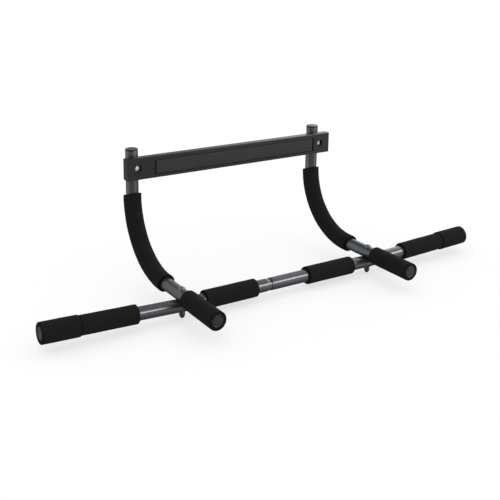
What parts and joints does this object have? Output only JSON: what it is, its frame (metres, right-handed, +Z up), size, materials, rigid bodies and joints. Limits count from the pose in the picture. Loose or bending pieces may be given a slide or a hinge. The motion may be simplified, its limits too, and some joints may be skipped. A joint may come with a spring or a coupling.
{
  "type": "pull up bar",
  "caption": "Doorway pull up bar: long tube with foam grips, curved arms over it ending in handles, and a padded crossbar that bears on the wall.",
  "frame": {"origin": "on the wall pad's outer face, midway between the arms and at the pad's mid height", "axes": "+X along the main bar to the user's right, -Y from the wall towards the user, +Z up"},
  "size_m": [0.992, 0.3624, 0.279],
  "materials": {
    "bar_tube": "satin pewter grey powder coat",
    "arm_tube": "satin pewter grey powder coat",
    "foam": "matt closed-cell foam",
    "cap": "satin black moulded plastic",
    "crossbar": "satin black moulded plastic",
    "pad": "matt brownish rubber",
    "fastener": "dark zinc",
    "bright_fastener": "bright zinc"
  },
  "bodies": {
    "root": {"left_main_tube": "bar_tube", "right_main_tube": "bar_tube", "left_arm_tube": "arm_tube", "right_arm_tube": "arm_tube", "left_outer_grip": "foam", "right_outer_grip": "foam", "left_end_sleeve": "foam", "right_end_sleeve": "foam", "left_inner_grip": "foam", "right_inner_grip": "foam", "left_handle_grip": "foam", "right_handle_grip": "foam", "left_arm_sleeve": "foam", "right_arm_sleeve": "foam", "left_handle_cap": "cap", "right_handle_cap": "cap", "left_arm_cap": "cap", "right_arm_cap": "cap", "left_bar_cap": "cap", "right_bar_cap": "cap", "crossbar": "crossbar", "wall_pad": "pad", "left_bar_bolt": "fastener", "left_bar_bolt_washer": "fastener", "left_bar_nut_washer": "fastener", "left_bar_nut": "fastener", "right_bar_bolt": "fastener", "right_bar_bolt_washer": "fastener", "right_bar_nut_washer": "fastener", "right_bar_nut": "fastener", "left_crossbar_bolt": "bright_fastener", "left_crossbar_washer": "bright_fastener", "left_crossbar_nut": "bright_fastener", "right_crossbar_bolt": "bright_fastener", "right_crossbar_washer": "bright_fastener", "right_crossbar_nut": "bright_fastener"}
  },
  "joints": []
}
